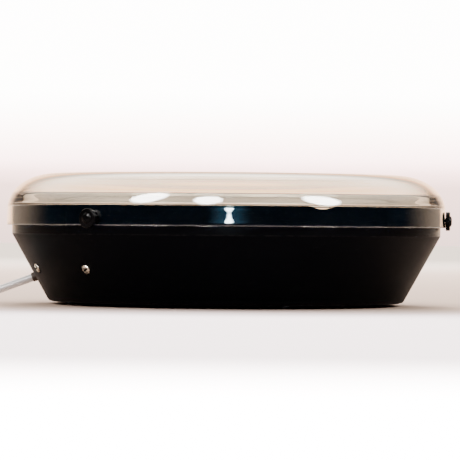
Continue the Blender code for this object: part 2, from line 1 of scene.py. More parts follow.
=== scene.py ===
"""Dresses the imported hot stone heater: fine surfaces, finishes, cord, stage, lights and camera.

Run as a script. Every operator makes one piece or one group of like pieces around the loaded frame.
Metres, +Z up; azimuths are in degrees from the front (-Y) towards +X.
"""

import json
import math

import bmesh
import bpy
import numpy as np
from bpy.props import FloatProperty, FloatVectorProperty, IntProperty, PointerProperty
from mathutils import Matrix, Vector


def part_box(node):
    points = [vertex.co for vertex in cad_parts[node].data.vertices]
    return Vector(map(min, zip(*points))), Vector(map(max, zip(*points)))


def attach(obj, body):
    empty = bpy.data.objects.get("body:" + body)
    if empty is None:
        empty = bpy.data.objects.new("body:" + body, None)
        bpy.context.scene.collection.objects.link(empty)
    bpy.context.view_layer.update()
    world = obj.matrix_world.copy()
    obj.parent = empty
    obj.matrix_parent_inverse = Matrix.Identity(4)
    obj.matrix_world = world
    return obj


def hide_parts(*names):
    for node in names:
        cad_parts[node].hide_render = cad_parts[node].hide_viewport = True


bl_info = {
    "name": "Hot stone heater dressing",
    "version": (1, 0, 0),
    "blender": (4, 5, 0),
    "location": "View3D > Sidebar > Heater",
    "description": "Fine surfaces, finishes, cord and stage for a round hot stone heater",
    "category": "Object",
}

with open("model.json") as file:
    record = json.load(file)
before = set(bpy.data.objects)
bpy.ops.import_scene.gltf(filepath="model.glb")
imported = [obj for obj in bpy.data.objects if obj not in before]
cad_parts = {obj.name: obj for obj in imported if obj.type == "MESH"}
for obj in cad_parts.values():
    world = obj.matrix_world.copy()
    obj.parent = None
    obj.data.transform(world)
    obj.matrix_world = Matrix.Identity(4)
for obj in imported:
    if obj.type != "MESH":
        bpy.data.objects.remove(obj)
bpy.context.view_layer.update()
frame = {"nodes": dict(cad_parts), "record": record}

MM = 0.001
SHARP_ANGLE = 35

# Places that follow the frame's solids
RIM_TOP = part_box("base_shell")[1].z
LEDGE_TOP = 61.0 * MM
CONE_LOW, CONE_HIGH = (122.4 * MM, 3.75 * MM), (146.9 * MM, 47.9 * MM)
CONE_ANGLE = math.degrees(math.atan2(CONE_HIGH[0] - CONE_LOW[0], CONE_HIGH[1] - CONE_LOW[1]))
PLATE_SCREW_AZ, PLATE_SCREW_R = 20.0, 112.2 * MM
FOOT_AZ, FOOT_R = 65.0, 96.0 * MM
CASE_SCREW_AZ, CASE_SCREW_STEP, CASE_SCREW_Z = -71.0, 28.0, 24.8 * MM
STUD_AZ, STUD_Z = -36.0, 58.3 * MM
CORD_AZ = -97.0
BUSH_AT, BUSH_DIP = (130.8 * MM, 19.05 * MM), -21.0
BOSS_AZ, BOSS_R = 33.0, 50.0 * MM
NOTCH_AZ, NOTCH_W, NOTCH_D = 25.0, 20.0 * MM, 2.1 * MM
COIL_AT = Vector((-200.0, -18.1, 0.0)) * MM
PLUG_AT = Vector((-225.4, -80.0, 7.0)) * MM
PIN_STEP, PLUG_END = 9.3 * MM, 50 * MM
TIE_AT = 330.0  # where the tie goes round the coil, counter-clockwise from +X
COIL_RADIUS, COIL_TURNS = 30.0 * MM, 8.25

# Stage
CAMERA_AT, CAMERA_SIGHT = Vector((0.0025, -2.0, 0.053)), Vector((0.0025, 0.0, 0.0513))
CAMERA_LENS, CAMERA_ROLL = 227.6, 0.455
BACKDROP_Y, FLOOR_RADIUS = 7.0, 9.0
ROOM, OVERHEAD = (0.012, 0.030, 0.055), (1.0, 0.93, 0.84)
BEIGE, DIM_BEIGE = (4.3, 2.6, 1.55), (0.64, 0.48, 0.35)


# ---------------------------------------------------------------- settings

def length(name, text, value):
    return FloatProperty(name=name, description=text, default=value, min=0.0, precision=4,
                         subtype="DISTANCE", unit="LENGTH")


def colour(name, text, value):
    return FloatVectorProperty(name=name, description=text, default=value, size=3, min=0.0, max=1.0,
                               subtype="COLOR")


class HeaterSizes(bpy.types.PropertyGroup):
    band_radius: length("Band radius", "Outer radius of the base's upright band", 146.9 * MM)
    shell_wall: length("Shell wall", "Thickness of the base shell's wall", 2.6 * MM)
    cover_wall: length("Cover wall", "Thickness of the clear cover's wall", 2.4 * MM)
    skirt_radius: length("Skirt radius", "Outer radius at the foot of the cover's skirt", 150.5 * MM)
    skirt_foot: length("Skirt foot", "Height of the foot of the cover's skirt", 53.7 * MM)
    crown_rise: length("Crown rise", "How far the cover's crown rises above its shoulder", 1.4 * MM)
    well_depth: length("Seat depth", "Depth of the tray's seats for stones", 4.0 * MM)
    cord_diameter: length("Cord diameter", "Diameter of the mains cord", 5.4 * MM)
    sides: IntProperty(name="Sides", description="Sides of the large round pieces", default=256, min=32, max=512)


class HeaterFinishes(bpy.types.PropertyGroup):
    black: colour("Black plastic", "Colour of the base shell", (0.0006, 0.0008, 0.0015))
    clear: colour("Clear plastic", "Tint of the clear cover", (0.94, 0.89, 0.80))
    tray: colour("Tray", "Colour of the cast tray", (0.60, 0.56, 0.52))
    cord: colour("Cord", "Colour of the cord and plug", (0.74, 0.74, 0.76))
    floor: colour("Floor", "Colour of the floor", (0.86, 0.74, 0.80))
    light: FloatProperty(name="Light", description="Strength of the studio lights", default=1.0, min=0.0)


# ---------------------------------------------------------------- places

def polar(radius, azimuth, z=0.0):
    a = math.radians(azimuth)
    return Vector((radius * math.sin(a), -radius * math.cos(a), z))


def outward(azimuth, dip=0.0):
    return polar(math.cos(math.radians(dip)), azimuth, math.sin(math.radians(dip)))


def aimed(at, direction, turn=0.0):
    """Points a piece modelled along +Z along direction."""
    return (Matrix.Translation(at) @ direction.to_track_quat("Z", "Y").to_matrix().to_4x4()
            @ Matrix.Rotation(math.radians(turn), 4, "Z"))


def cord_entry():
    """Where the cord crosses the cone."""
    return polar(BUSH_AT[0], CORD_AZ, BUSH_AT[1])


def at_azimuth(azimuth, radius, z):
    """Local +X points away from the axis."""
    return Matrix.Translation(polar(radius, azimuth, z)) @ Matrix.Rotation(math.radians(azimuth - 90), 4, "Z")


def cone_r(z):
    (r0, z0), (r1, z1) = CONE_LOW, CONE_HIGH
    return r0 + (z - z0) * (r1 - r0) / (z1 - z0)


def rounded(corners, closed=True, steps=5):
    """An outline whose corners (r, z, fillet) in millimetres are filleted."""
    pts = [(Vector((r, z)), f) for r, z, f in corners]
    out = []
    for i, (p, f) in enumerate(pts):
        if f <= 0 or (not closed and i in (0, len(pts) - 1)):
            out.append(p)
            continue
        a, b = pts[i - 1][0] - p, pts[(i + 1) % len(pts)][0] - p
        half = a.angle(b) / 2
        reach = min(f / math.tan(half), a.length * 0.49, b.length * 0.49)
        start, end = p + a.normalized() * reach, p + b.normalized() * reach
        for k in range(steps + 1):
            t = k / steps
            out.append(start * (1 - t) ** 2 + p * 2 * t * (1 - t) + end * t ** 2)
    return [(p.x * MM, p.y * MM) for p in out]


def smooth_route(points, step):
    """Points about step apart on a smooth curve through the given ones."""
    points = [Vector(p) for p in points]
    ends = [points[0] * 2 - points[1]] + points + [points[-1] * 2 - points[-2]]
    out = []
    for a, b, c, d in zip(ends, ends[1:], ends[2:], ends[3:]):
        n = max(1, round((c - b).length / step))
        for i in range(n):
            t = i / n
            out.append(0.5 * (2 * b + (c - a) * t + (2 * a - 5 * b + 4 * c - d) * t * t
                              + (3 * b - 3 * c + d - a) * t ** 3))
    return out + [points[-1]]


# ---------------------------------------------------------------- node trees

def add(tree, kind, inputs=None, **settings):
    """A node with its settings and inputs; an input may be a value or another node's socket."""
    node = tree.nodes.new(kind)
    for key, value in settings.items():
        setattr(node, key, value)
    for key, value in (inputs or {}).items():
        if isinstance(value, bpy.types.NodeSocket):
            tree.links.new(value, node.inputs[key])
        else:
            node.inputs[key].default_value = value
    return node


def split(tree, vector):
    """The X, Y and Z of a vector."""
    return add(tree, "ShaderNodeSeparateXYZ", {0: vector}).outputs


def maths(tree, operation, a, b=0.0, c=None):
    inputs = {0: a, 1: b} if c is None else {0: a, 1: b, 2: c}
    return add(tree, "ShaderNodeMath", inputs, operation=operation).outputs[0]


def geometry_tree(name, sockets):
    tree = bpy.data.node_groups.new(name, "GeometryNodeTree")
    tree.interface.new_socket("Geometry", in_out="INPUT", socket_type="NodeSocketGeometry")
    for label, kind in sockets:
        tree.interface.new_socket(label, in_out="INPUT", socket_type=kind)
    tree.interface.new_socket("Geometry", in_out="OUTPUT", socket_type="NodeSocketGeometry")
    return tree, tree.nodes.new("NodeGroupInput"), tree.nodes.new("NodeGroupOutput")


def end_tree(tree, out, geometry, finish):
    whole = add(tree, "GeometryNodeRealizeInstances", {0: geometry}).outputs[0]
    coated = add(tree, "GeometryNodeSetMaterial", {"Geometry": whole, "Material": finish}).outputs[0]
    tree.links.new(coated, out.inputs[0])
    return tree


def turning_tree():
    """Turns an outline's points, in order, about +Z."""
    tree, start, out = geometry_tree("turned_outline", [("Sides", "NodeSocketInt"),
                                                        ("Finish", "NodeSocketMaterial")])
    count = add(tree, "GeometryNodeAttributeDomainSize", {0: start.outputs["Geometry"]}).outputs["Point Count"]
    around = maths(tree, "ADD", start.outputs["Sides"], 1.0)
    grid = add(tree, "GeometryNodeMeshGrid", {"Size X": 1.0, "Size Y": 1.0, "Vertices X": count,
                                              "Vertices Y": around}).outputs["Mesh"]
    across, along, _ = split(tree, tree.nodes.new("GeometryNodeInputPosition").outputs[0])
    last = maths(tree, "SUBTRACT", count, 1.0)
    number = maths(tree, "ROUND", maths(tree, "MULTIPLY", maths(tree, "ADD", across, 0.5), last))
    turn = maths(tree, "MULTIPLY", maths(tree, "ADD", along, 0.5), 2 * math.pi)
    sample = add(tree, "GeometryNodeSampleIndex", {"Geometry": start.outputs["Geometry"], "Index": number},
                 data_type="FLOAT_VECTOR", domain="POINT")
    tree.links.new(tree.nodes.new("GeometryNodeInputPosition").outputs[0], sample.inputs["Value"])
    radius, _, height = split(tree, sample.outputs[0])
    ring = add(tree, "ShaderNodeCombineXYZ", {
        0: maths(tree, "MULTIPLY", radius, maths(tree, "COSINE", turn)),
        1: maths(tree, "MULTIPLY", radius, maths(tree, "SINE", turn)), 2: height})
    moved = add(tree, "GeometryNodeSetPosition", {"Geometry": grid, "Position": ring.outputs[0]}).outputs[0]
    merged = add(tree, "GeometryNodeMergeByDistance", {"Geometry": moved, "Distance": 1e-6}).outputs[0]
    return end_tree(tree, out, merged, start.outputs["Finish"])


def copies_tree():
    """Repeats a piece round the +Z axis."""
    tree, start, out = geometry_tree("copies_round_axis", [
        ("Count", "NodeSocketInt"), ("First", "NodeSocketFloat"), ("Step", "NodeSocketFloat"),
        ("Finish", "NodeSocketMaterial")])
    points = add(tree, "GeometryNodePoints", {"Count": start.outputs["Count"]}).outputs[0]
    number = tree.nodes.new("GeometryNodeInputIndex").outputs[0]
    angle = maths(tree, "MULTIPLY_ADD", number, start.outputs["Step"], start.outputs["First"])
    euler = add(tree, "ShaderNodeCombineXYZ", {2: angle}).outputs[0]
    turn = add(tree, "FunctionNodeEulerToRotation", {0: euler}).outputs[0]
    copies = add(tree, "GeometryNodeInstanceOnPoints", {
        "Points": points, "Instance": start.outputs["Geometry"], "Rotation": turn}).outputs[0]
    return end_tree(tree, out, copies, start.outputs["Finish"])


trees = {}


def tree_of(name, make):
    if name not in trees:
        trees[name] = make()
    return trees[name]


def run_tree(ob, tree, values):
    """Gives the object the tree's result as a plain mesh."""
    step = ob.modifiers.new("shape", "NODES")
    step.node_group = tree
    names = {item.name: item.identifier for item in tree.interface.items_tree if item.in_out == "INPUT"}
    for label, value in values.items():
        step[names[label]] = value
    return applied(ob)


def applied(ob):
    """Replaces the object's mesh with its modifiers' result."""
    bpy.context.view_layer.update()
    graph = bpy.context.evaluated_depsgraph_get()
    mesh = bpy.data.meshes.new_from_object(ob.evaluated_get(graph), preserve_all_data_layers=True, depsgraph=graph)
    ob.modifiers.clear()
    ob.data = mesh
    return ob


# ---------------------------------------------------------------- meshes

def link(name, data):
    ob = bpy.data.objects.new(name, data)
    bpy.context.scene.collection.objects.link(ob)
    return ob


def mesh_from(bm, name):
    mesh = bpy.data.meshes.new(name)
    bm.to_mesh(mesh)
    bm.free()
    return mesh


def shaded(ob):
    """Smooth faces with sharp edges marked."""
    ob.data.shade_smooth()
    ob.data.set_sharp_from_angle(angle=math.radians(SHARP_ANGLE))
    return ob


def tidy_mesh(ob):
    """Merges doubles, points the faces out and marks the sharp edges."""
    bm = bmesh.new()
    bm.from_mesh(ob.data)
    bmesh.ops.remove_doubles(bm, verts=bm.verts, dist=1e-6)
    bmesh.ops.dissolve_degenerate(bm, dist=1e-7, edges=bm.edges)
    bmesh.ops.recalc_face_normals(bm, faces=bm.faces)
    bm.to_mesh(ob.data)
    bm.free()
    return shaded(ob)


def placed(ob, matrix):
    ob.data.transform(matrix)
    return ob


def turned(name, outline, sides, closed=True):
    """A turned piece; a closed outline returns to its first point, an open one starts and ends on the axis."""
    points = list(outline) + ([outline[0]] if closed else [])
    mesh = bpy.data.meshes.new(name)
    mesh.from_pydata([(r, 0, z) for r, z in points], [(i, i + 1) for i in range(len(points) - 1)], [])
    return tidy_mesh(run_tree(link(name, mesh), tree_of("turning", turning_tree),
                              {"Sides": sides, "Finish": None}))


def copies(ob, count, step, slot):
    """Copies of the piece round the axis, step degrees apart."""
    return shaded(run_tree(ob, tree_of("copies", copies_tree), {
        "Count": count, "First": 0.0, "Step": math.radians(step), "Finish": looks[slot]}))


def loft(name, rings):
    """Joins closed rings of equal count and closes both ends."""
    bm = bmesh.new()
    rows = [[bm.verts.new(p) for p in ring] for ring in rings]
    n = len(rows[0])
    for a, b in zip(rows, rows[1:]):
        for i in range(n):
            bm.faces.new((a[i], a[(i + 1) % n], b[(i + 1) % n], b[i]))
    bm.faces.new(rows[0])
    bm.faces.new(rows[-1])
    return tidy_mesh(link(name, mesh_from(bm, name)))


def box_piece(name, size, matrix):
    bm = bmesh.new()
    bmesh.ops.create_cube(bm, size=1.0, matrix=matrix @ Matrix.Diagonal((*size, 1)))
    return link(name, mesh_from(bm, name))


def rod_piece(radius, low, high, matrix, sides=48):
    return placed(turned("tool", [(0, high), (radius, high), (radius, low), (0, low)], sides, closed=False), matrix)


def plate_holes(low, high):
    """Tools for the four plate screws' holes."""
    return [rod_piece(1.8 * MM, low, high, Matrix.Translation(polar(PLATE_SCREW_R, PLATE_SCREW_AZ + 90 * k)), 24)
            for k in range(4)]


def bosses(radius, low, high, sides):
    """Tools at the three places where the shield is screwed to the tray."""
    return [rod_piece(radius, low, high, Matrix.Translation(polar(BOSS_R, BOSS_AZ + 120 * k)), sides)
            for k in range(3)]


def combine(ob, tools, operation="DIFFERENCE"):
    for tool in tools:
        step = ob.modifiers.new(operation, "BOOLEAN")
        step.operation, step.object, step.solver = operation, tool, "EXACT"
    applied(ob)
    for tool in tools:
        bpy.data.objects.remove(tool)
    return tidy_mesh(ob)


def dress(ob, body, slot, *nodes):
    """The piece's finish, which its material slot names, its body and the solids it stands for."""
    ob.data.materials.clear()
    ob.data.materials.append(looks[slot])
    for polygon in getattr(ob.data, "polygons", ()):
        polygon.material_index = 0
    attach(ob, body)
    if nodes:
        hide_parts(*nodes)
    return ob


# ---------------------------------------------------------------- finishes

def shader(name):
    material = bpy.data.materials.new(name)
    material.use_nodes = True
    return material, material.node_tree, material.node_tree.nodes["Principled BSDF"]


def feed(tree, main, **given):
    """Links or sets the shader's sockets; a plain value is set on the socket itself."""
    for key, value in given.items():
        socket = main.inputs[key.replace("_", " ")]
        if isinstance(value, bpy.types.NodeSocket):
            tree.links.new(value, socket)
        else:
            socket.default_value = value


def own_place(tree):
    return tree.nodes.new("ShaderNodeTexCoord").outputs["Object"]


def ramp(tree, value, stops):
    """A colour ramp; the first and last stops are its ends."""
    node = add(tree, "ShaderNodeValToRGB", {0: value})
    elements = node.color_ramp.elements
    elements[0].color, elements[-1].color = (*stops[0][1], 1), (*stops[-1][1], 1)
    for at, tint in stops[1:-1]:
        elements.new(at).color = (*tint, 1)
    return node.outputs[0]


def noise(tree, scale, detail=3.0, rough=0.5, stretch=None):
    """Noise over the piece's own coordinates, scale in cycles a metre."""
    at = own_place(tree)
    if stretch:
        at = add(tree, "ShaderNodeMapping", {"Vector": at, "Scale": stretch}).outputs[0]
    return add(tree, "ShaderNodeTexNoise", {"Vector": at, "Scale": scale, "Detail": detail,
                                            "Roughness": rough}).outputs["Fac"]


def between(tree, value, low, high, to_low, to_high):
    return add(tree, "ShaderNodeMapRange", {0: value, 1: low, 2: high, 3: to_low, 4: to_high}).outputs[0]


def soft_step(tree, value, low, high):
    return add(tree, "ShaderNodeMapRange", {0: value, 1: low, 2: high, 3: 0.0, 4: 1.0},
               interpolation_type="SMOOTHSTEP").outputs[0]


def mixed(tree, value, a, b, blend="MIX"):
    """Mixes two colours, each a tuple or a socket."""
    node = add(tree, "ShaderNodeMix", data_type="RGBA", blend_type=blend)
    for index, given in ((0, value), (6, a), (7, b)):
        if isinstance(given, bpy.types.NodeSocket):
            tree.links.new(given, node.inputs[index])
        else:
            node.inputs[index].default_value = (*given, 1) if index else given
    return node.outputs[2]


def bump(tree, height, strength, distance, under=None):
    inputs = {"Height": height, "Strength": strength, "Distance": distance}
    if under:
        inputs["Normal"] = under
    return add(tree, "ShaderNodeBump", inputs).outputs[0]


def finish_of(name, base, rough=(0.4, 0.55), metallic=0.0, mottle=(60.0, 0.12), grain=(1500.0, 0.15, 0.00008),
              patch=(35.0, 4.0), **fixed):
    """A moulded, plated or cast surface: mottled colour, uneven gloss and a fine grain."""
    material, tree, main = shader(name)
    scale, amount = mottle
    dark, light = ([max(0.0, c * k) for c in base] for k in (1 - amount, 1 + amount))
    fine, strength, distance = grain
    feed(tree, main, Base_Color=mixed(tree, noise(tree, scale, 4.0), dark, [min(1, c) for c in light]),
         Roughness=between(tree, noise(tree, *patch), 0.3, 0.7, *rough),
         Normal=bump(tree, noise(tree, fine, 3.0, 0.6), strength, distance), Metallic=metallic, **fixed)
    return material


def black_plastic(base):
    """Fine-textured cone, a glossier band and rim, worn edges and a little dust low down."""
    material, tree, main = shader("black_plastic")
    z = split(tree, own_place(tree))[2]
    band = between(tree, z, CONE_HIGH[1] - 0.3 * MM, CONE_HIGH[1] + 0.3 * MM, 0.0, 1.0)
    edge = maths(tree, "SUBTRACT", 1.0, between(
        tree, maths(tree, "ABSOLUTE", maths(tree, "SUBTRACT", z, CONE_HIGH[1])), 0.15 * MM, 0.7 * MM, 0.0, 1.0))
    foot = between(tree, z, 2.2 * MM, 5.0 * MM, 1.0, 0.0)
    worn = maths(tree, "MULTIPLY", maths(tree, "MAXIMUM", edge, foot),
                 between(tree, noise(tree, 220.0, 5.0, 0.65), 0.42, 0.68, 0.0, 0.5))
    mottle = mixed(tree, noise(tree, 45.0, 4.0), [c * 0.85 for c in base], [c * 1.25 for c in base])
    dust = maths(tree, "MULTIPLY", between(tree, z, 0.004, 0.03, 1.0, 0.25),
                 between(tree, noise(tree, 900.0, 6.0, 0.75), 0.62, 0.80, 0.0, 0.35))
    coat = mixed(tree, worn, mottle, (0.012, 0.012, 0.012))
    satin = between(tree, noise(tree, 26.0, 5.0), 0.3, 0.7, 0.40, 0.50)
    gloss = between(tree, noise(tree, 60.0, 5.0), 0.3, 0.7, 0.20, 0.27)
    rough = add(tree, "ShaderNodeMix", {0: band, 2: satin, 3: gloss}).outputs[0]
    grain = bump(tree, noise(tree, 2400.0, 2.0, 0.5), 0.22, 0.00006)
    feed(tree, main, Base_Color=mixed(tree, dust, coat, (0.03, 0.03, 0.03)),
         Roughness=maths(tree, "ADD", rough, maths(tree, "MULTIPLY", dust, 0.5)),
         Normal=bump(tree, noise(tree, 14.0, 2.0), 0.10, 0.0010, grain), Specular_IOR_Level=0.016)
    return material


def clear_plastic(tint):
    """Clear moulded plastic with faint wiping scratches."""
    material, tree, main = shader("clear_plastic")
    smear = between(tree, noise(tree, 22.0, 5.0), 0.35, 0.75, 0.008, 0.03)
    hair = noise(tree, 500.0, 2.0, 0.5, (1.0, 0.04, 0.3))
    flow = bump(tree, noise(tree, 9.0, 1.0), 0.05, 0.0006)
    feed(tree, main, Base_Color=(*tint, 1), Roughness=smear, Normal=bump(tree, hair, 0.03, 0.00002, flow),
         Transmission_Weight=1.0, IOR=1.49)
    return material


def cast_tray(base):
    """Satin cast aluminium: faint turning lines, use marks, and painted light and shade: the wall and flange are
    painted lighter than the floor.
    """
    material, tree, main = shader("tray_aluminium")
    at = own_place(tree)
    flat = add(tree, "ShaderNodeMapping", {"Vector": at, "Scale": (1, 1, 0)}).outputs[0]
    reach = add(tree, "ShaderNodeVectorMath", {0: flat}, operation="LENGTH").outputs["Value"]
    lines = maths(tree, "SINE", maths(tree, "MULTIPLY_ADD", reach, 9000.0,
                                      maths(tree, "MULTIPLY", noise(tree, 30.0, 3.0), 6.0)))
    marks = between(tree, noise(tree, 120.0, 6.0, 0.7), 0.5, 0.72, 0.0, 1.0)
    # Painted light and shade: by height, the wall and flange are painted lighter and the tray's floor darker.
    painted_light_and_shade = soft_step(tree, split(tree, at)[2], 43.6 * MM, 50 * MM)
    face = mixed(tree, painted_light_and_shade, [c * 0.62 for c in base], [min(1.0, c * 1.35) for c in base])
    cast = bump(tree, noise(tree, 1100.0, 4.0, 0.6), 0.25, 0.00008)
    feed(tree, main, Base_Color=mixed(tree, maths(tree, "MULTIPLY", marks, 0.5), face, [c * 0.55 for c in base]),
         Roughness=between(tree, noise(tree, 40.0, 4.0), 0.3, 0.7, 0.34, 0.48),
         Normal=bump(tree, lines, 0.12, 0.00004, cast), Metallic=0.9)
    return material


def heat_toned():
    """A steel element sheath with straw and blue heat tones."""
    material, tree, main = shader("element_sheath")
    grey = (0.28, 0.27, 0.26)
    tones = ramp(tree, noise(tree, 38.0, 3.0), ((0.0, grey), (0.3, (0.30, 0.29, 0.28)), (0.5, (0.36, 0.27, 0.17)),
                                                (0.7, (0.17, 0.18, 0.26)), (1.0, grey)))
    feed(tree, main, Base_Color=tones, Roughness=between(tree, noise(tree, 300.0), 0.3, 0.7, 0.32, 0.5),
         Normal=bump(tree, noise(tree, 1400.0), 0.2, 0.00006), Metallic=0.9)
    return material


def ceramic_fibre():
    """Pressed fibre board: matted strands."""
    material, tree, main = shader("ceramic_fibre")
    strands = maths(tree, "ADD", noise(tree, 420.0, 4.0, 0.6, (1.0, 0.12, 1.0)),
                    noise(tree, 420.0, 4.0, 0.6, (0.12, 1.0, 1.0)))
    pale = between(tree, strands, 0.8, 1.3, 0.0, 1.0)
    feed(tree, main, Base_Color=mixed(tree, pale, (0.62, 0.58, 0.49), (0.82, 0.79, 0.71)),
         Roughness=between(tree, strands, 0.8, 1.3, 0.85, 0.98), Normal=bump(tree, strands, 0.6, 0.0005))
    return material


def zinc_plate():
    """Zinc-plated sheet with a faint spangle."""
    material, tree, main = shader("zinc_steel")
    cells = add(tree, "ShaderNodeTexVoronoi", {"Vector": own_place(tree), "Scale": 260.0})
    value = add(tree, "ShaderNodeRGBToBW", {0: cells.outputs["Color"]}).outputs[0]
    feed(tree, main, Base_Color=mixed(tree, value, (0.47, 0.48, 0.49), (0.62, 0.63, 0.64)),
         Roughness=between(tree, value, 0.2, 0.8, 0.30, 0.46), Normal=bump(tree, noise(tree, 1300.0), 0.1, 0.00005),
         Metallic=1.0)
    return material


def plated_screw():
    """Bright plated steel, worn, with painted shade darkening the cross recess."""
    material, tree, main = shader("case_screw_steel")
    painted_recess_shade = add(tree, "ShaderNodeAttribute", attribute_name="recess").outputs["Fac"]
    worn = mixed(tree, soft_step(tree, noise(tree, 420.0, 5.0, 0.7), 0.38, 0.60), (0.17, 0.155, 0.13),
                 (0.76, 0.67, 0.54))
    gloss = between(tree, noise(tree, 300.0), 0.3, 0.7, 0.16, 0.32)
    # Painted shade: the cross recess is painted near black where its shadow falls.
    feed(tree, main, Base_Color=mixed(tree, soft_step(tree, painted_recess_shade, 0.15, 0.75), worn, (0.02, 0.018, 0.015)),
         Roughness=maths(tree, "MULTIPLY_ADD", painted_recess_shade, 0.4, gloss),
         Normal=bump(tree, noise(tree, 1600.0, 3.0), 0.25, 0.00006), Metallic=1.0)
    return material


def make_finishes(tones):
    cord = tuple(tones.cord)
    return {
        "black_plastic": black_plastic(tuple(tones.black)),
        "clear_plastic": clear_plastic(tuple(tones.clear)),
        "tray_aluminium": cast_tray(tuple(tones.tray)),
        "element_sheath": heat_toned(),
        "ceramic_fibre": ceramic_fibre(),
        "zinc_steel": zinc_plate(),
        "stud_plastic": finish_of("stud_plastic", (0.0012, 0.0012, 0.0014), (0.14, 0.24),
                                  grain=(1600.0, 0.06, 0.00005), Specular_IOR_Level=0.03),
        "case_screw_steel": plated_screw(),
        "bottom_sheet": finish_of("bottom_sheet", (0.022, 0.022, 0.022), (0.5, 0.66), grain=(900.0, 0.35, 0.0001)),
        "foot_rubber": finish_of("foot_rubber", (0.018, 0.018, 0.018), (0.7, 0.85), grain=(1200.0, 0.4, 0.0001)),
        "bush_rubber": finish_of("bush_rubber", (0.045, 0.027, 0.018), (0.5, 0.65), grain=(1500.0, 0.25, 0.00006),
                                 Specular_IOR_Level=0.15),
        "white_pvc": finish_of("white_pvc", cord, (0.34, 0.46), mottle=(90.0, 0.05), grain=(700.0, 0.08, 0.00006),
                               Coat_Weight=0.12),
        "tie_nylon": finish_of("tie_nylon", (0.02, 0.02, 0.021), (0.35, 0.5), grain=(1500.0, 0.1, 0.00005)),
        "pin_metal": finish_of("pin_metal", (0.70, 0.69, 0.66), (0.14, 0.26), 1.0, (180.0, 0.08),
                               (1500.0, 0.06, 0.00003)),
        "thermostat_case": finish_of("thermostat_case", (0.035, 0.032, 0.030), (0.35, 0.5)),
        "fuse_case": finish_of("fuse_case", (0.60, 0.52, 0.34), (0.25, 0.4), 0.9),
        "nylon_natural": finish_of("nylon_natural", (0.70, 0.66, 0.56), (0.38, 0.52),
                                   grain=(1100.0, 0.15, 0.00006)),
        "lead_brown": finish_of("lead_brown", (0.14, 0.055, 0.02), (0.36, 0.5)),
        "lead_blue": finish_of("lead_blue", (0.02, 0.08, 0.33), (0.36, 0.5)),
        "lead_red": finish_of("lead_red", (0.33, 0.02, 0.02), (0.36, 0.5)),
    }


looks = {}


# ---------------------------------------------------------------- outlines

def shell_outline(sizes):
    across = sizes.shell_wall / math.cos(math.radians(CONE_ANGLE)) / MM
    band, top, ledge = sizes.band_radius / MM, RIM_TOP / MM, LEDGE_TOP / MM
    low, high = CONE_LOW[1] / MM, CONE_HIGH[1] / MM
    inner = CONE_HIGH[0] / MM - across
    return rounded([
        (119.6, 2.0, 0.3), (121.3, 2.5, 0.8), (CONE_LOW[0] / MM, low, 1.5), (band, high, 0.5), (band, top, 0.9),
        (143.4, top, 0.7), (143.4, ledge, 0.4), (135.8, ledge, 0.5), (135.8, ledge - 2.4, 0.5),
        (144.2, ledge - 2.4, 0.4), (144.2, high + (144.2 - inner) / 0.555, 1.0),
        (cone_r(5.0 * MM) / MM - across, 5.0, 0.8), (117.0, 3.6, 0.3), (117.0, 2.0, 0.3)])


def cover_outline(sizes):
    """Down the outside, round the skirt's foot and up the inside past the seating step."""
    wall, foot, radius, rise = (v / MM for v in (sizes.cover_wall, sizes.skirt_foot, sizes.skirt_radius,
                                                 sizes.crown_rise))
    cr, cz, a, b = 118.0, 65.0, 32.0, 24.0
    seat, seat_in = RIM_TOP / MM + 0.3, 145.6

    def crown(k, n, top):
        return cr * k / n * MM, (top + rise * (1 - (k / n) ** 2) ** 2) * MM

    turns = [math.radians(90 * k / 40) for k in range(41)]
    out = [crown(k, 20, cz + b) for k in range(20)]
    out += [((cr + a * math.sin(t)) * MM, (cz + b * math.cos(t)) * MM) for t in turns]
    out += [((150.0 + (radius - 150.0) * k / 5) * MM, (cz + (foot + 0.6 - cz) * k / 5) * MM) for k in range(1, 5)]
    out += rounded([(150.0, cz, 0), (radius, foot, 0.4), (radius - wall, foot, 0.4), (148.0, seat - 0.4, 0.5),
                    (147.4, seat, 0.25), (seat_in, seat, 0.5), (seat_in, seat + 1.9, 0)], closed=False)[1:]
    a, b = a - wall, b - wall
    top = math.asin((seat_in - 1.7 - cr) / a)
    start, end = Vector((seat_in, seat + 1.9)), Vector((cr + a * math.sin(top), cz + b * math.cos(top)))
    turn = Vector((seat_in, end.y - (seat_in - end.x) * b * math.sin(top) / (a * math.cos(top))))
    for k in range(1, 12):
        t = k / 12
        out.append(tuple((start * (1 - t) ** 2 + turn * 2 * t * (1 - t) + end * t ** 2) * MM))
    turns = [top * (1 - k / 36) for k in range(37)]
    out += [((cr + a * math.sin(t)) * MM, (cz + b * math.cos(t)) * MM) for t in turns]
    return out + [crown(k, 20, cz + b) for k in range(19, -1, -1)]


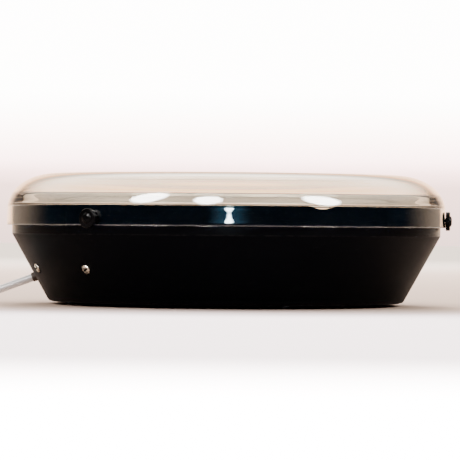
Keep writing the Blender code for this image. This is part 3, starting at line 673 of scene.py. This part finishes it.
def screw_piece(head_r, head_h, shank_r, shank):
    """A cross-head screw along +Z with its head's underside at 0."""
    dome = [(head_r * math.sin(math.radians(d)), head_h * (0.42 + 0.58 * math.cos(math.radians(d))))
            for d in range(0, 91, 9)]
    outline = dome + [(head_r * 0.985, 0.0), (shank_r, 0.0), (shank_r, -shank), (0, -shank)]
    ob = turned("screw", outline, 64, closed=False)
    reach, blade, deep = head_r * 0.78, head_r * 0.40, head_h * 0.76
    arms = [box_piece("tool", (2 * reach, blade, 2 * deep), Matrix.Translation((0, 0, head_h))
                      @ Matrix.Rotation(math.radians(turn), 4, "Z")) for turn in (0, 90)]
    cross = combine(arms[0], arms[1:], "UNION")
    flare = rod_piece(1.0, 0, 1.0, Matrix.Identity(4), 4)
    placed(flare, Matrix.Translation((0, 0, head_h * 0.62))
           @ Matrix.Diagonal((blade * 1.2, blade * 1.2, head_h, 1)))
    combine(ob, [cross, flare])
    # Marks the cross recess, which the screw finish paints dark as painted shade.
    painted_recess_shade = ob.data.attributes.new("recess", "FLOAT", "POINT")
    for vertex, value in zip(ob.data.vertices, painted_recess_shade.data):
        inside = math.hypot(vertex.co.x, vertex.co.y) < head_r * 0.86
        value.value = 1.0 if inside and -0.1 * MM < vertex.co.z < head_h * 0.6 else 0.0
    return ob


# ---------------------------------------------------------------- cord route

def cord_route(radius):
    """Points of the free run, the coil's turns and the tail."""
    run = [polar(r * MM, CORD_AZ, z * MM) for r, z in (
        (111.0, 21.7), (118.5, 21.7), (123.0, 21.45), (127.0, 20.4), (130.8, 19.05), (134.4, 17.65), (138.5, 16.05))]
    run += [Vector(p) * MM for p in ((-145.5, 18.1, 13.2), (-155, 19.1, 9.6), (-165, 19.7, 6.3), (-172, 19.95, 4.6),
                                     (-177.6, 20.0, 3.6), (-187, 20.0, 2.85))]
    d = 2 * radius
    up = math.sqrt(d * d - radius * radius)
    turns = [(COIL_RADIUS + k * d, radius) for k in (1.5, 0.5, -0.5, -1.5)]
    turns += [(COIL_RADIUS + k * d, radius + up) for k in (-1.0, 0.0, 1.0)]
    turns += [(COIL_RADIUS + k * d, radius + 2 * up) for k in (0.5, -0.5)]
    per = 24
    for step in range(int(per * COIL_TURNS) + 1):
        number, share = divmod(step / per, 1.0)
        number = int(number)
        here, after = turns[number], turns[min(number + 1, len(turns) - 1)]
        blend = min(1.0, max(0.0, (share - 0.28) / 0.34))  # the change of turn lies on the coil's south side
        blend = blend * blend * (3 - 2 * blend)
        r = here[0] * (1 - blend) + after[0] * blend
        z = here[1] * (1 - blend) + after[1] * blend
        crossing = math.sin(math.pi * min(1.0, max(0.0, (share - 0.22) / 0.46))) ** 2
        z += crossing * 0.9 * MM * (0 if number < 3 else 1 if number < 6 else 2)
        a = math.radians(90.0 + 360.0 * share)
        tie = math.degrees(a) % 360
        z += 1.5 * MM * math.exp(-((tie - TIE_AT) / 16.0) ** 2)
        run.append(COIL_AT + Vector((r * math.cos(a), r * math.sin(a), z + 0.05 * MM)))
    tail = [Vector(p) * MM for p in ((-227.5, -30, 12.9), (-227.6, -41, 12.4), (-227.35, -51.2, 10.6),
                                     (-227.0, -59, 8.6), (-226.4, -67, 7.4), (-225.8, -75, 7.0),
                                     (-225.4, -79.7, 7.0))]
    return run + tail


# ---------------------------------------------------------------- operators

class HEATER_OT_stage(bpy.types.Operator):
    """Makes the floor, the soft lights and the camera."""
    bl_idname = "heater.make_stage"
    bl_label = "Stage"

    def execute(self, context):
        tones = context.scene.heater_finishes
        self.sky(context, tones.light)
        floor = rod_piece(FLOOR_RADIUS, -0.01, 0.0, Matrix.Identity(4), 96)
        floor.name = "floor"
        material, tree, main = shader("floor")
        along = split(tree, own_place(tree))[1]
        near = mixed(tree, noise(tree, 6.0, 3.0), [c * 0.97 for c in tones.floor], tuple(tones.floor))
        # Painted shade: the floor is painted a darker beige under and behind the heater out to about 1.2 m, pale in
        # front and paler again beyond about 2.8 m.
        warm_painted_shade = mixed(tree, soft_step(tree, along, 1.2, 2.8), [c * k for c, k in zip(
            tones.floor, (0.62, 0.56, 0.44))], (0.96, 0.86, 0.78))
        feed(tree, main, Base_Color=mixed(tree, soft_step(tree, along, -0.28, -0.06), near, warm_painted_shade), Roughness=0.95,
             Specular_IOR_Level=0.0)
        floor.data.materials.clear()
        floor.data.materials.append(material)

        self.card("backdrop", 1.6, (BACKDROP_Y, -0.002), (BACKDROP_Y, 2.2), self.backdrop_shine, tones.light)
        self.card("floor_front", 1.0, (-1.9, 0.0004), (-0.16, 0.0004), self.floor_shine, tones.light)
        for name, at, spot, size in (
                ("softbox_left", (-0.325, -0.392, 0.367), (-0.050, -0.140, 0.071), (0.168, 0.375)),
                ("softbox_middle", (-0.0835, -0.535, 0.330), (-0.013, -0.148, 0.071), (0.147, 0.315)),
                ("softbox_right", (0.395, -0.362, 0.323), (0.062, -0.1355, 0.071), (0.192, 0.345))):
            self.lamp(name, Vector(at), Vector(spot), size, 150.0 * tones.light, (1.0, 0.99, 0.97), 0.7)
        centre = Vector((0, 0, 60 * MM))
        front = outward(1.35, 3.97)
        self.lamp("lamp_front", centre + 2.05 * front, centre, (0.17, 0.108), 190.0 * tones.light,
                  (0.72, 0.90, 1.0), 0.75)
        self.lamp("lamp_glow", centre + 2.10 * front, centre, (0.9, 0.26), 2.0 * tones.light, (0.20, 0.60, 1.0), 0.0)
        back = self.lamp("lamp_back", centre + 2.4 * outward(180.0, 36.0), centre, (1.5, 0.8), 78.0 * tones.light,
                         (1.0, 0.95, 0.93), 0.3)
        back.visible_diffuse, back.visible_glossy, back.visible_transmission = True, False, False

        data = bpy.data.cameras.new("camera")
        data.sensor_width, data.lens = 36.0, CAMERA_LENS
        data.clip_start, data.clip_end = 0.05, 60.0
        camera = link("camera", data)
        camera.location = CAMERA_AT
        camera.rotation_mode = "QUATERNION"
        camera.rotation_quaternion = ((CAMERA_SIGHT - CAMERA_AT).to_track_quat("-Z", "Y")
                                      @ Matrix.Rotation(math.radians(CAMERA_ROLL), 4, "Z").to_quaternion())
        context.scene.camera = camera
        return {"FINISHED"}

    def sky(self, context, strength):
        """A bright soft backdrop behind, a dim room in front and an even light overhead."""
        world = bpy.data.worlds.new("studio")
        world.use_nodes = True
        context.scene.world = world
        tree = world.node_tree
        _, along, height = split(tree, tree.nodes.new("ShaderNodeTexCoord").outputs["Generated"])
        ahead = maths(tree, "MULTIPLY", soft_step(tree, along, 0.85, 0.98), soft_step(tree, height, 0.45, 0.15))
        wide = maths(tree, "MULTIPLY", soft_step(tree, along, 0.25, 0.75), soft_step(tree, height, 0.30, 0.10))
        above = maths(tree, "MULTIPLY", soft_step(tree, height, 0.25, 0.6), between(tree, along, -0.5, 0.5, 1.6, 4.7))
        room = ROOM
        for tint, amount in ((BEIGE, ahead), (DIM_BEIGE, wide), (OVERHEAD, above)):
            part = add(tree, "ShaderNodeVectorMath", {0: tint, "Scale": amount}, operation="SCALE").outputs[0]
            room = add(tree, "ShaderNodeVectorMath", {0: room, 1: part}, operation="ADD").outputs[0]
        sky = tree.nodes["Background"]
        tree.links.new(room, sky.inputs[0])
        sky.inputs[1].default_value = strength

    def card(self, name, half, near, far, shine, strength):
        """A card of soft light that only the camera sees; it neither lights the heater nor shows in it."""
        mesh = bpy.data.meshes.new(name)
        mesh.from_pydata([(-half, *near), (half, *near), (half, *far), (-half, *far)], [], [(0, 1, 2, 3)])
        card = link(name, mesh)
        material = bpy.data.materials.new(name)
        material.use_nodes = True
        tree = material.node_tree
        tree.nodes.clear()
        tint, amount, clear = shine(tree, split(tree, own_place(tree)))
        glow = add(tree, "ShaderNodeEmission", {0: tint, 1: maths(tree, "MULTIPLY", amount, strength)}).outputs[0]
        if clear:
            through = tree.nodes.new("ShaderNodeBsdfTransparent").outputs[0]
            glow = add(tree, "ShaderNodeAddShader", {0: glow, 1: through}).outputs[0]
        add(tree, "ShaderNodeOutputMaterial", {0: glow})
        mesh.materials.append(material)
        card.visible_diffuse = card.visible_glossy = card.visible_transmission = card.visible_shadow = False

    def backdrop_shine(self, tree, place):
        """Beige low down, white above."""
        stops = ((0.0, (0.195, 0.138, 0.124)), (0.053, (0.215, 0.150, 0.134)), (0.18, (0.27, 0.180, 0.162)),
                 (0.22, (0.40, 0.26, 0.245)), (0.26, (0.60, 0.41, 0.40)), (0.33, (0.74, 0.58, 0.54)),
                 (0.47, (1.0, 0.95, 0.91)), (1.0, (1.0, 0.98, 0.96)))
        return ramp(tree, place[2], stops), 15.0, False

    def floor_shine(self, tree, place):
        """White towards the camera."""
        pale = maths(tree, "MULTIPLY", soft_step(tree, place[1], -0.165, -0.34), 2.2)
        white = maths(tree, "MULTIPLY", soft_step(tree, place[1], -0.80, -1.15), 14.0)
        return (1.0, 0.93, 0.92, 1), maths(tree, "ADD", pale, white), True

    def lamp(self, name, at, spot, size, radiance, tint, core):
        """A soft-edged elliptical lamp aimed at a spot; it shows in gloss only."""
        data = bpy.data.lights.new(name, "AREA")
        data.shape, data.size, data.size_y = "ELLIPSE", *size
        data.energy, data.color = radiance * math.pi * math.pi * size[0] * size[1] / 4, tint
        data.use_nodes = True
        tree = data.node_tree
        across = tree.nodes.new("ShaderNodeNewGeometry").outputs["Parametric"]
        reach = add(tree, "ShaderNodeVectorMath", {0: across, 1: (0.5, 0.5, 0.0)},
                    operation="DISTANCE").outputs["Value"]
        tree.links.new(soft_step(tree, reach, 0.5, 0.5 * core), tree.nodes["Emission"].inputs["Strength"])
        ob = link(name, data)
        ob.matrix_world = aimed(at, at - spot)
        ob.visible_camera = ob.visible_diffuse = False
        return ob


class HEATER_OT_cord(bpy.types.Operator):
    """Makes the mains cord with its coil, tie and plug."""
    bl_idname = "heater.make_cord"
    bl_label = "Cord and plug"

    def execute(self, context):
        sizes = context.scene.heater_sizes
        radius = sizes.cord_diameter / 2
        plug, pins, tie = self.plug(), self.pins(), self.tie(radius)
        route = smooth_route(cord_route(radius), 4 * MM)
        curve = bpy.data.curves.new("mains_cord_whole", "CURVE")
        curve.dimensions, curve.bevel_depth, curve.bevel_resolution = "3D", radius, 6
        curve.use_fill_caps = True
        spline = curve.splines.new("POLY")
        spline.points.add(len(route) - 1)
        for point, co in zip(spline.points, route):
            point.co = (*co, 1.0)
        spline.use_smooth = True
        cord = link("mains_cord_whole", curve)
        dress(cord, "base", "white_pvc", "mains_cord", "cord_coil", "cord_tail")
        return {"FINISHED"}

    def plug(self):
        """A flat two-pin plug body with a tapered, ribbed neck."""
        shape = [(0, 3.9, 3.9, 1.0)]
        for k in range(7):
            y, grow = -1.2 - 2.4 * k, 0.16 * k
            shape += [(y, 4.0 + grow, 3.9 + grow, 1.0), (y - 0.3, 4.5 + grow, 4.4 + grow, 1.0),
                      (y - 1.2, 4.5 + grow, 4.4 + grow, 1.0), (y - 1.5, 4.0 + grow, 3.9 + grow, 1.0)]
        shape += [(-19, 5.6, 5.0, 0.95), (-23, 7.6, 5.4, 0.85), (-27, 10.5, 6.0, 0.75), (-30, 13.4, 6.4, 0.66),
                  (-33, 15.6, 6.6, 0.6), (-36, 16.8, 6.7, 0.56), (-39, 17.3, 6.75, 0.53), (-43, 17.4, 6.75, 0.5),
                  (-48.6, 17.3, 6.7, 0.5), (-49.5, 17.0, 6.4, 0.5), (-50, 16.3, 5.8, 0.5)]
        rings = []
        for y, half_x, half_z, power in shape:
            ring = []
            for k in range(64):
                c, s = math.cos(math.tau * k / 64), math.sin(math.tau * k / 64)
                ring.append((half_x * math.copysign(abs(c) ** power, c) * MM, y * MM,
                             half_z * math.copysign(abs(s) ** power, s) * MM))
            rings.append(ring)
        body = placed(loft("plug_moulding", rings), Matrix.Translation(PLUG_AT))
        combine(body, [rod_piece(2.3 * MM, -8 * MM, 5 * MM, self.pin_place(side), 32) for side in (1, -1)])
        return dress(body, "base", "white_pvc", "plug_body")

    def pin_place(self, side):
        return aimed(PLUG_AT + Vector((side * PIN_STEP, -PLUG_END, 0)), Vector((0, -1, 0)))

    def pins(self):
        outline = rounded([(0, 19.0, 0), (1.0, 19.0, 0.5), (2.0, 16.6, 0.8), (2.0, 9.5, 0.15), (1.75, 9.3, 0.1),
                           (1.75, -7.5, 0.1), (0, -7.5, 0)], closed=False)
        pins = turned("pin", outline, 48, closed=False)
        other = link("other_pin", pins.data.copy())
        placed(pins, self.pin_place(1))
        placed(other, self.pin_place(-1))
        bm = bmesh.new()
        for ob in (pins, other):
            bm.from_mesh(ob.data)
        mesh = mesh_from(bm, "plug_pins")
        for ob in (pins, other):
            bpy.data.objects.remove(ob)
        pins = tidy_mesh(link("plug_pins", mesh))
        return dress(pins, "base", "pin_metal", "plug_pin_1", "plug_pin_2")

    def tie(self, radius):
        """A nylon tie drawn round the coil's bundle, with its head on top."""
        up = math.sqrt(3) * radius
        strands = [(k * radius, radius) for k in (-3, -1, 1, 3)] + [(k * radius, radius + up) for k in (-2, 0, 2)]
        strands += [(k * radius, radius + 2 * up) for k in (-1, 1)]
        angles = [math.tau * k / 96 for k in range(96)]

        def outline(extra):
            out = []
            for a in angles:
                way = Vector((math.cos(a), math.sin(a)))
                x, z = max(strands, key=lambda s: s[0] * way.x + s[1] * way.y)
                out.append((x + way.x * (radius + extra), z + way.y * (radius + extra) + 1.5 * MM))
            return out

        bm = bmesh.new()
        half = 2.0 * MM
        inner, outer = outline(0.05 * MM), outline(1.15 * MM)
        rows = [[bm.verts.new((u, w, z)) for u, z in line] for line, w in
                ((outer, -half), (outer, half), (inner, half), (inner, -half))]
        for a, b in zip(rows, rows[1:] + rows[:1]):
            for i in range(96):
                bm.faces.new((a[i], a[(i + 1) % 96], b[(i + 1) % 96], b[i]))
        tie = link("cord_tie_strap", mesh_from(bm, "cord_tie_strap"))
        bpy.context.view_layer.update()
        top = max(z for _, z in outer)
        head = box_piece("tool", (6.4 * MM, 5.6 * MM, 3.6 * MM), Matrix.Translation((0, 0, top + 1.0 * MM)))
        tail = box_piece("tool", (13 * MM, 3.4 * MM, 0.9 * MM), Matrix.Translation((-7.5 * MM, 0, top + 1.2 * MM))
                         @ Matrix.Rotation(math.radians(-7), 4, "Y"))
        combine(tidy_mesh(tie), [head, tail], "UNION")
        step = tie.modifiers.new("edges", "BEVEL")
        step.width, step.segments, step.limit_method, step.angle_limit = 0.25 * MM, 2, "ANGLE", math.radians(50)
        applied(tie)
        tidy_mesh(tie)
        a = math.radians(TIE_AT)
        placed(tie, Matrix.Translation(COIL_AT + Vector((COIL_RADIUS * math.cos(a), COIL_RADIUS * math.sin(a), 0)))
               @ Matrix.Rotation(a, 4, "Z"))
        return dress(tie, "base", "tie_nylon", "cord_tie")


class HEATER_OT_base_shell(bpy.types.Operator):
    """Makes the black base shell with its rim, finger notch and screw recesses."""
    bl_idname = "heater.make_base_shell"
    bl_label = "Base shell"

    def execute(self, context):
        sizes = context.scene.heater_sizes
        shell = turned("base_shell_fine", shell_outline(sizes), sizes.sides)
        tabs = [box_piece("tool", (15.2 * MM, 9 * MM, 4.1 * MM),
                          at_azimuth(PLATE_SCREW_AZ + 90 * k, 115.0 * MM, 6.95 * MM)) for k in range(4)]
        combine(shell, tabs, "UNION")
        tools = plate_holes(3 * MM, 12 * MM)
        for k in range(2):
            az = CASE_SCREW_AZ + k * CASE_SCREW_STEP
            step = rounded([(0, 6, 0), (4.35, 6, 0), (4.1, 0.0, 0), (4.1, -1.0, 0.2), (1.8, -1.0, 0), (1.8, -6, 0),
                            (0, -6, 0)], closed=False)
            tools.append(placed(turned("tool", step, 64, closed=False),
                                aimed(polar(cone_r(CASE_SCREW_Z), az, CASE_SCREW_Z), outward(az, -CONE_ANGLE))))
        tools.append(rod_piece(4.0 * MM, -12 * MM, 12 * MM,
                               aimed(cord_entry(), outward(CORD_AZ, BUSH_DIP))))
        radius = (NOTCH_W ** 2 / 4 + NOTCH_D ** 2) / (2 * NOTCH_D)
        tools.append(rod_piece(radius, 130 * MM, 160 * MM,
                               aimed(polar(0, 0, RIM_TOP - NOTCH_D + radius), outward(NOTCH_AZ)), 240))
        combine(shell, tools)
        dress(shell, "base", "black_plastic", "base_shell")
        return {"FINISHED"}


class HEATER_OT_underside(bpy.types.Operator):
    """Makes the bottom sheet, its screws and the rubber feet."""
    bl_idname = "heater.make_underside"
    bl_label = "Underside"

    def execute(self, context):
        outline = rounded([(0, 5.6, 0), (84, 5.6, 1.5), (87, 4.6, 1.5), (116.6, 4.6, 0.3), (116.6, 2.8, 0.4),
                           (86.6, 2.8, 1.5), (83.6, 3.8, 1.5), (0, 3.8, 0)], closed=False)
        sheet = turned("bottom_sheet_fine", outline, 192, closed=False)
        combine(sheet, plate_holes(0, 9 * MM))
        dress(sheet, "base", "bottom_sheet", "base_plate")

        screw = placed(screw_piece(2.8 * MM, 1.5 * MM, 1.5 * MM, 6.0 * MM),
                       aimed(polar(PLATE_SCREW_R, PLATE_SCREW_AZ, 2.5 * MM), Vector((0, 0, -1)), 25))
        screw.name = "plate_screws"
        copies(screw, 4, 90, "zinc_steel")
        dress(screw, "base", "zinc_steel", *(f"plate_screw_{k}" for k in range(1, 5)))

        outline = rounded([(0, 2.5, 0), (7.6, 2.5, 0.2), (7.6, 0.6, 0.4), (7.0, 0, 0.4), (4.2, 0, 0.3),
                           (3.9, 0.5, 0.3), (0, 0.5, 0)], closed=False)
        foot = placed(turned("rubber_feet", outline, 64, closed=False), Matrix.Translation(polar(FOOT_R, FOOT_AZ)))
        copies(foot, 4, 90, "foot_rubber")
        dress(foot, "base", "foot_rubber", *(f"foot_{k}" for k in range(1, 5)))
        return {"FINISHED"}


class HEATER_OT_case_screws(bpy.types.Operator):
    """Makes the two bright screws in the cone and the dark bush round the cord."""
    bl_idname = "heater.make_case_screws"
    bl_label = "Case screws and bush"

    def execute(self, context):
        way = outward(CASE_SCREW_AZ, -CONE_ANGLE)
        screw = placed(screw_piece(3.2 * MM, 2.0 * MM, 1.5 * MM, 8.5 * MM),
                       aimed(polar(cone_r(CASE_SCREW_Z), CASE_SCREW_AZ, CASE_SCREW_Z) - 0.7 * MM * way, way, 30))
        screw.name = "case_screws"
        copies(screw, 2, CASE_SCREW_STEP, "case_screw_steel")
        dress(screw, "base", "case_screw_steel", "case_screw_1", "case_screw_2")
        bush = turned("entry_bush", rounded([
            (2.9, 4.6, 0.2), (3.2, 4.6, 0.2), (3.4, 1.5, 0.3), (4.1, 0.7, 0.2), (3.7, 0.4, 0.1), (3.7, -3.6, 0.1),
            (5.6, -3.6, 0.4), (5.6, -5.0, 0.4), (3.0, -5.0, 0.3)]), 64)
        placed(bush, aimed(cord_entry(), outward(CORD_AZ, BUSH_DIP)))
        dress(bush, "base", "bush_rubber", "cord_bush")
        return {"FINISHED"}


class HEATER_OT_tray(bpy.types.Operator):
    """Makes the cast tray with its shallow seats for stones."""
    bl_idname = "heater.make_tray"
    bl_label = "Stone tray"

    def execute(self, context):
        deep = context.scene.heater_sizes.well_depth
        floor, under = 44.0 * MM, 37.6 * MM
        wall = rounded([(125.0, 44.0, 0), (127.6, 44.4, 2.4), (133.6, 62.9, 1.4), (143.0, 63.0, 0.5),
                        (143.0, 61.3, 0.4), (135.4, 61.3, 0.3), (130.4, 44.0, 1.0), (128.0, 38.2, 1.0),
                        (126.4, 37.6, 0.5), (124.0, 37.6, 0)], closed=False, steps=6)
        inside = [(r, floor) for r in np.linspace(0.0, 124.0 * MM, 100)]
        outline = inside + wall + [(r, under) for r in np.linspace(120.0 * MM, 0.0, 8)]
        tray = turned("stone_tray_cast", outline, 288, closed=False)
        points = np.zeros(len(tray.data.vertices) * 3)
        tray.data.vertices.foreach_get("co", points)
        points = points.reshape(-1, 3)
        flat = (np.abs(points[:, 2] - floor) < 1e-5) & (np.hypot(points[:, 0], points[:, 1]) < 124.5 * MM)
        drop = np.zeros(len(points))
        for k in range(7):
            az, ring = math.radians(60.0 * k), 82.0 * MM if k < 6 else 0.0
            half = (36.0 * MM, 33.0 * MM) if k < 6 else (33.0 * MM, 33.0 * MM)
            away = np.array([math.sin(az), -math.cos(az)])
            side = np.array([-away[1], away[0]])
            rel = points[:, :2] - away * ring
            rho = np.hypot(rel @ away / half[0], rel @ side / half[1])
            bowl = 1 - np.clip(rho, 0, 1) ** 2
            lip = 0.06
            drop = np.maximum(drop, deep * (np.sqrt(bowl * bowl + lip * lip) + bowl - lip) / (2 - lip)
                              * (rho < 1.0))
        points[:, 2] -= drop * flat
        tray.data.vertices.foreach_set("co", points.ravel())
        tray.data.update()
        combine(tray, bosses(4.5 * MM, 24.5 * MM, 38.2 * MM, 32), "UNION")
        combine(tray, bosses(1.8 * MM, 20 * MM, 35 * MM, 24))
        dress(tray, "base", "tray_aluminium", "stone_tray")
        return {"FINISHED"}


class HEATER_OT_cover(bpy.types.Operator):
    """Makes the clear domed cover and the three black studs in its skirt."""
    bl_idname = "heater.make_cover"
    bl_label = "Clear cover and studs"

    def execute(self, context):
        sizes = context.scene.heater_sizes
        cover = turned("clear_cover_fine", cover_outline(sizes), sizes.sides, closed=False)
        combine(cover, [rod_piece(2.5 * MM, 140 * MM, 160 * MM,
                                  aimed(polar(0, 0, STUD_Z), outward(STUD_AZ + 120 * k)), 32) for k in range(3)])
        dress(cover, "cover", "clear_plastic", "clear_cover")
        outline = rounded([(0, 3.75, 0), (2.0, 3.7, 0.8), (3.45, 3.1, 0.6), (3.6, 2.5, 0.1), (6.0, 2.5, 0.35),
                           (6.45, 2.0, 0.3), (6.45, -0.42, 0.1), (2.2, -0.42, 0.1), (2.2, -1.9, 0.2), (0, -1.9, 0)],
                          closed=False)
        stud = placed(turned("cover_studs", outline, 96, closed=False),
                      aimed(polar(sizes.skirt_radius + 0.5 * MM, STUD_AZ, STUD_Z), outward(STUD_AZ)))
        copies(stud, 3, 120, "stud_plastic")
        dress(stud, "cover", "stud_plastic", *(f"cover_stud_{k}" for k in range(1, 4)))
        return {"FINISHED"}


class HEATER_OT_inner_parts(bpy.types.Operator):
    """Gives the parts inside the base their finishes."""
    bl_idname = "heater.make_inner_parts"
    bl_label = "Inner parts"

    def execute(self, context):
        slots = {row["node"]: row["material_slot"] for row in frame["record"]["subparts"]}
        for name, ob in frame["nodes"].items():
            ob.data.materials.clear()
            ob.data.materials.append(looks[slots[name]])
        return {"FINISHED"}


class HEATER_PT_panel(bpy.types.Panel):
    """Sizes, finishes and the operators in the sidebar."""
    bl_idname = "HEATER_PT_panel"
    bl_label = "Heater"
    bl_space_type = "VIEW_3D"
    bl_region_type = "UI"
    bl_category = "Heater"

    def draw(self, context):
        for group in (context.scene.heater_sizes, context.scene.heater_finishes):
            box = self.layout.box()
            for key in group.__annotations__:
                box.prop(group, key)
        for operator in OPERATORS:
            self.layout.operator(operator.bl_idname)


OPERATORS = (HEATER_OT_stage, HEATER_OT_cord, HEATER_OT_base_shell, HEATER_OT_underside, HEATER_OT_case_screws,
             HEATER_OT_tray, HEATER_OT_cover, HEATER_OT_inner_parts)
CLASSES = (HeaterSizes, HeaterFinishes, *OPERATORS, HEATER_PT_panel)


def register():
    for cls in CLASSES:
        bpy.utils.register_class(cls)
    bpy.types.Scene.heater_sizes = PointerProperty(type=HeaterSizes)
    bpy.types.Scene.heater_finishes = PointerProperty(type=HeaterFinishes)


def unregister():
    del bpy.types.Scene.heater_sizes, bpy.types.Scene.heater_finishes
    for cls in reversed(CLASSES):
        bpy.utils.unregister_class(cls)


def main():
    register()
    looks.update(make_finishes(bpy.context.scene.heater_finishes))
    bpy.ops.heater.make_stage()
    bpy.ops.heater.make_cord()
    bpy.ops.heater.make_base_shell()
    bpy.ops.heater.make_underside()
    bpy.ops.heater.make_case_screws()
    bpy.ops.heater.make_tray()
    bpy.ops.heater.make_cover()
    bpy.ops.heater.make_inner_parts()
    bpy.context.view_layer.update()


if __name__ == "__main__":
    main()
